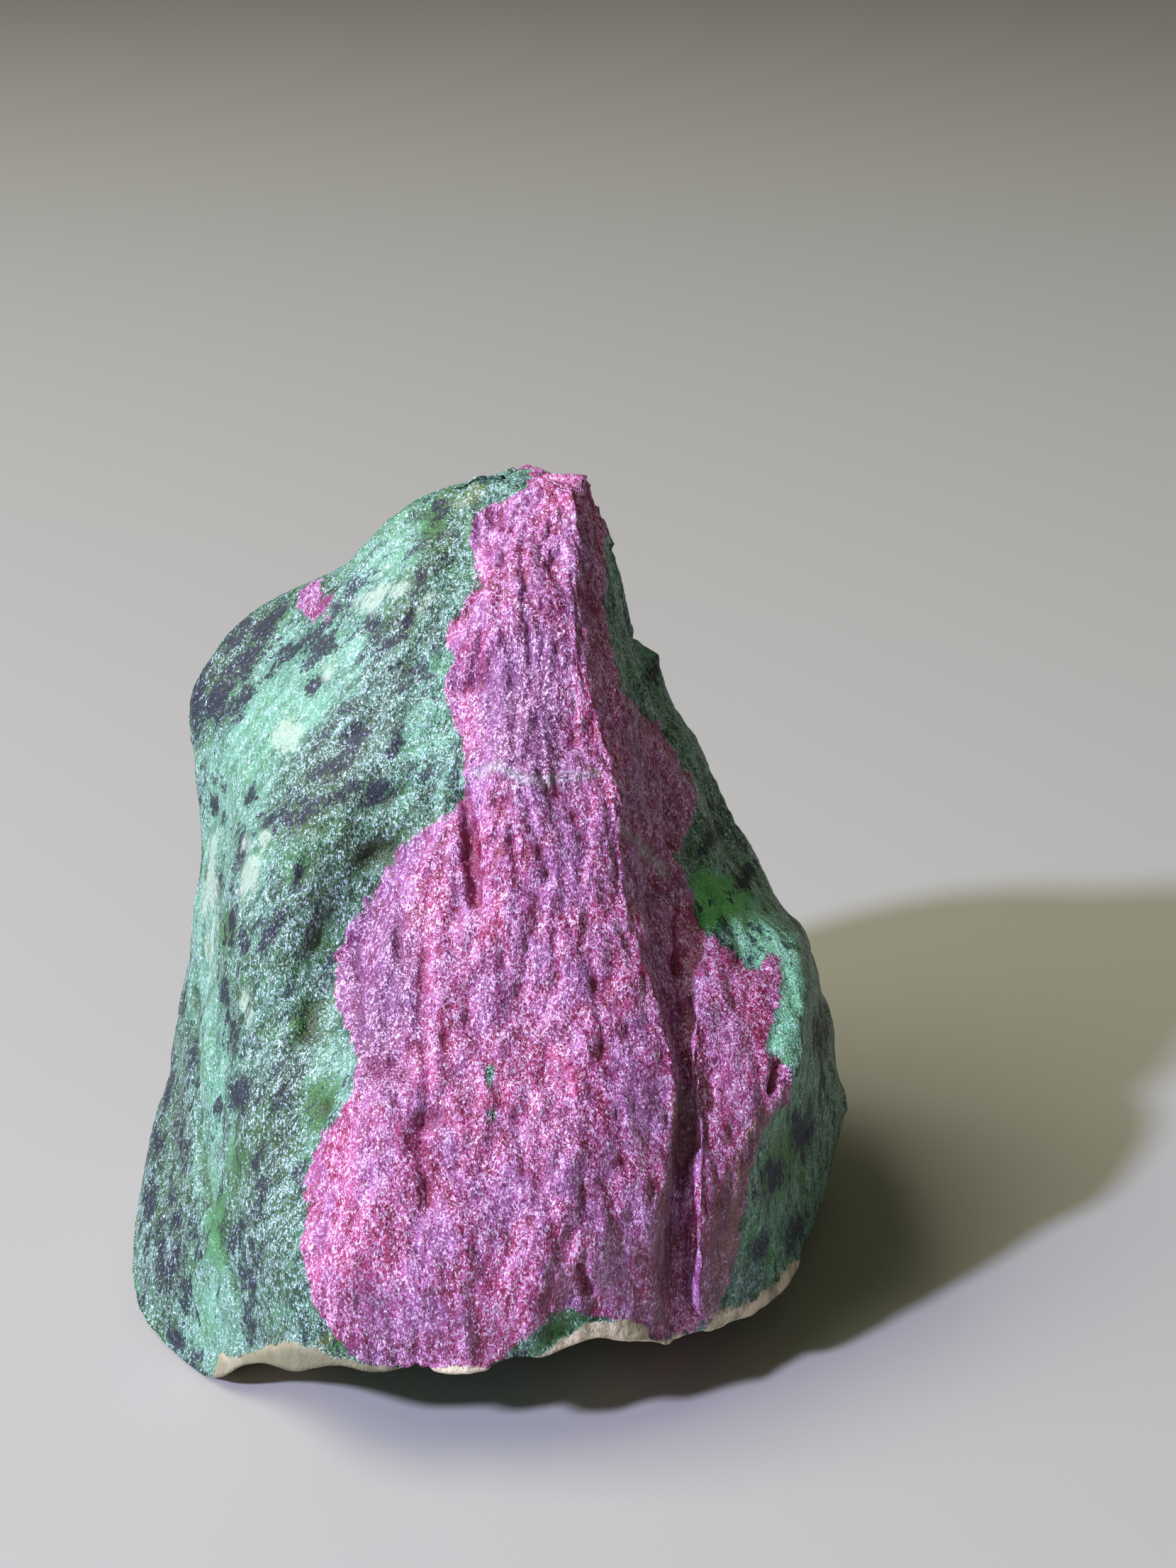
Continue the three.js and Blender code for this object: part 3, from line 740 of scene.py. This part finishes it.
# Painted shade: recesses and dusky places turn olive.
green = (recess_shade_share * 0.5 + dusky_and_shade_share * (0.3 + 0.5 * blotches)).mix(green, OLIVE_SHADE)
stray = spots * 0.7 + fissures * 0.3 + (zones - 0.5) * 0.5 + (grain - 0.5) * 0.6
stray = stray + dusky_and_shade_share * 0.04
dark = hornblende_share.larger(stray.above(0.61, 0.67) * 0.9)
green = (dark * 0.95).mix(green, HORNBLENDE_BLACK)
green = (feldspar_share * (0.25 + 0.75 * grain)).mix(green, FELDSPAR_WHITE)
lightened = 1 + mark("lighter")
green = make.node("ShaderNodeVectorMath", {"operation": "SCALE"}, {0: green, "Scale": lightened})

# %% Ruby
CRIMSON = rgb(122, 26, 68)
ROSE = rgb(162, 64, 126)
LILAC = rgb(150, 104, 172)
CHERRY = rgb(186, 42, 94)
PLUM = rgb(100, 56, 104)
VEIN_GREY = rgb(136, 158, 150)
DULL_SKIN = rgb(146, 112, 110)

red = (fabric + (grain - 0.5) * 0.9).above(0.32, 0.6).mix(CRIMSON, ROSE)
red = (blotches.above(0.42, 0.62) * (0.15 + 0.7 * grain)).mix(red, LILAC)
red = (fissures.above(0.56, 0.66) * 0.6).mix(red, CRIMSON)
red = (zones.above(0.47, 0.62) * 0.6 * fabric).mix(red, CHERRY)
# Painted shade: deep relief turns crimson.
red = (recess_shade_share * 0.75).mix(red, CRIMSON)
# The dusky mark turns the ruby plum, mostly as painted shade.
red = (dusky_and_shade_share * (0.4 + 0.6 * fabric)).mix(red, PLUM)
red = (mark("vein") * (0.3 + 0.5 * grain)).mix(red, VEIN_GREY)
red = (skin_share * (0.5 + 0.5 * fabric)).mix(red, DULL_SKIN)
red = (skin_share * fissures.above(0.46, 0.6) * 0.6).mix(red, PLUM)

# %% Crust and flecks
CRUST_PALE = rgb(240, 226, 202)
CRUST_OCHRE = rgb(156, 144, 110)
CRUST_DIRT_AND_SHADE = rgb(98, 98, 74)
FROST_ON_RUBY = rgb(194, 130, 196)
FROST_ON_GREEN = rgb(108, 156, 146)
FLECK_AND_GLINT_ON_RUBY = rgb(244, 222, 255)
FLECK_AND_GLINT_ON_GREEN = rgb(204, 228, 246)

body = ruby_share.mix(green, red)
frost_colour = ruby_share.mix(FROST_ON_GREEN, FROST_ON_RUBY)
fleck_and_glint_colour = ruby_share.mix(FLECK_AND_GLINT_ON_GREEN, FLECK_AND_GLINT_ON_RUBY)
bare = recess_shade_share * 0.1 + vivid_share * 0.12 + dark * 0.1
bare = bare + skin_share * 0.08 + feldspar_share * 0.1
frost = needles * 0.6 + grain * 0.4 + (zones - 0.5) * 0.15 + (fabric - 0.5) * 0.15 - bare
edges = 1 - (curls - 0.5).magnitude().above(0.0, 0.06)
flecks = edges * frost.above(0.45, 0.54)
body = (frost.above(0.44, 0.62) * (0.3 + 0.4 * ruby_share)).mix(body, frost_colour)
# The flecks turn near white. This is partly pale grain and partly painted glint.
body = flecks.mix(body, fleck_and_glint_colour)
crust_colour = ((fabric + (blotches - 0.5)).above(0.35, 0.65) * 0.6).mix(CRUST_PALE, CRUST_OCHRE)
specks = (grain + (blotches - 0.5) * 0.8).above(0.54, 0.62)
# The dusky mark darkens the crust as painted shade, and the specks darken it as dirt.
crust_colour = (dusky_and_shade_share * 0.9).larger(specks * 0.45).mix(crust_colour, CRUST_DIRT_AND_SHADE)
body = crust_share.mix(body, crust_colour)

# %% [markdown]
# ## Sparkle
#
# Each grain ends in a small flat cleavage face that tilts its own way, so the stone glitters like sugar. The
# three parts of a fine noise colour, read as a direction and added to the surface's normal, tilt it like such
# faces. The flecks are the cleanest faces, so they are also the smoothest, and hornblende is duller.
#
# These minerals bend light by about 1.7. The shader gets 1.55, because the dark hornblende would otherwise
# look grey under the key light.

# %% Tilted grains
FACET = 0.15
TILT, CRUST_TILT = 2.4, 0.4
BUMP_DEPTH = 0.3

dull = dark * (1 - ruby_share)
facet_noise = {"Vector": along_fabric(2.0), "Scale": 1 / FACET, "Detail": 1.0}
facets = make.node("ShaderNodeTexNoise", None, facet_noise, 1)
tilt = make.node("ShaderNodeVectorMath", {"operation": "SUBTRACT"}, {0: facets, 1: (0.5, 0.5, 0.5)})
steepness = TILT - (TILT - CRUST_TILT) * crust_share - dull
tilt = make.node("ShaderNodeVectorMath", {"operation": "SCALE"}, {0: tilt, "Scale": steepness})
height = grain * 0.4 + fabric * 0.3 + needles * 0.3
bumped = make.node("ShaderNodeBump", None, {"Strength": 1.0, "Distance": BUMP_DEPTH * MM, "Height": height})
tilted = make.node("ShaderNodeVectorMath", {"operation": "ADD"}, {0: bumped, 1: tilt})
normal = make.node("ShaderNodeVectorMath", {"operation": "NORMALIZE"}, {0: tilted})

# %% The stone's surface
ROUGHNESS = 0.45
BENDS_LIGHT = 1.55

surface = make.node(
    "ShaderNodeBsdfPrincipled",
    None,
    {
        "Base Color": body,
        "Roughness": ROUGHNESS + 0.3 * crust_share + 0.2 * dull - 0.2 * flecks,
        "Normal": normal,
        "IOR": BENDS_LIGHT,
    },
)
output = stone_material.node_tree.nodes.new("ShaderNodeOutputMaterial")
stone_material.node_tree.links.new(surface.socket, output.inputs["Surface"])
print("nodes in the stone's material:", len(stone_material.node_tree.nodes))

# %% [markdown]
# ## Floor and light
#
# The stone stands on a plain pale floor. The key light comes from the left, from the front and from above,
# so that it rakes across the ruby's lenses and leaves the right flank in shade. A wide, warm panel overhead
# fills the shade a little, and the sky is nearly dark, so that the flank keeps its depth.

# %% Floor
FLOOR_RADIUS = 4.0
FLOOR_GREY = rgb(172, 171, 170)
FLOOR_ROUGHNESS = 0.8

floor_mesh = bpy.data.meshes.new("floor")
disc = bmesh.new()
bmesh.ops.create_circle(disc, cap_ends=True, segments=96, radius=FLOOR_RADIUS)
disc.to_mesh(floor_mesh)
disc.free()
floor = bpy.data.objects.new("floor", floor_mesh)
bpy.context.scene.collection.objects.link(floor)
floor_material = bpy.data.materials.new("pale_floor")
floor_material.use_nodes = True
floor_shader = floor_material.node_tree.nodes["Principled BSDF"]
floor_shader.inputs["Base Color"].default_value = FLOOR_GREY
floor_shader.inputs["Roughness"].default_value = FLOOR_ROUGHNESS
floor_mesh.materials.append(floor_material)

# %% Key light and sky
KEY_DIRECTION = Vector((-1.06, -0.81, 1))
KEY_DISTANCE = 1.2
KEY_SIZE = 0.08
KEY_WATTS = 20.8
KEY_COLOUR = (0.71, 0.72, 1.0)
PANEL_PLACE = Vector((-0.9, -0.2, 1.3))
PANEL_SIZE = 1.0
PANEL_WATTS = 22
PANEL_COLOUR = (1.0, 0.98, 0.72)
SKY_COLOUR = (1.0, 0.97, 0.6, 1)
SKY_STRENGTH = 0.1

key_data = bpy.data.lights.new("key", "AREA")
key_data.shape = "DISK"
key_data.size = KEY_SIZE
key_data.energy = KEY_WATTS
key_data.color = KEY_COLOUR
key = bpy.data.objects.new("key", key_data)
key.location = KEY_DIRECTION.normalized() * KEY_DISTANCE
key.rotation_euler = KEY_DIRECTION.to_track_quat("Z", "Y").to_euler()
bpy.context.scene.collection.objects.link(key)

panel_data = bpy.data.lights.new("panel", "AREA")
panel_data.size = PANEL_SIZE
panel_data.energy = PANEL_WATTS
panel_data.color = PANEL_COLOUR
panel = bpy.data.objects.new("panel", panel_data)
panel.location = PANEL_PLACE
panel.rotation_euler = PANEL_PLACE.to_track_quat("Z", "Y").to_euler()
bpy.context.scene.collection.objects.link(panel)

world = bpy.data.worlds.new("sky")
world.use_nodes = True
background = world.node_tree.nodes["Background"]
background.inputs["Color"].default_value = SKY_COLOUR
background.inputs["Strength"].default_value = SKY_STRENGTH
bpy.context.scene.world = world
bpy.context.scene.view_settings.view_transform = "Standard"
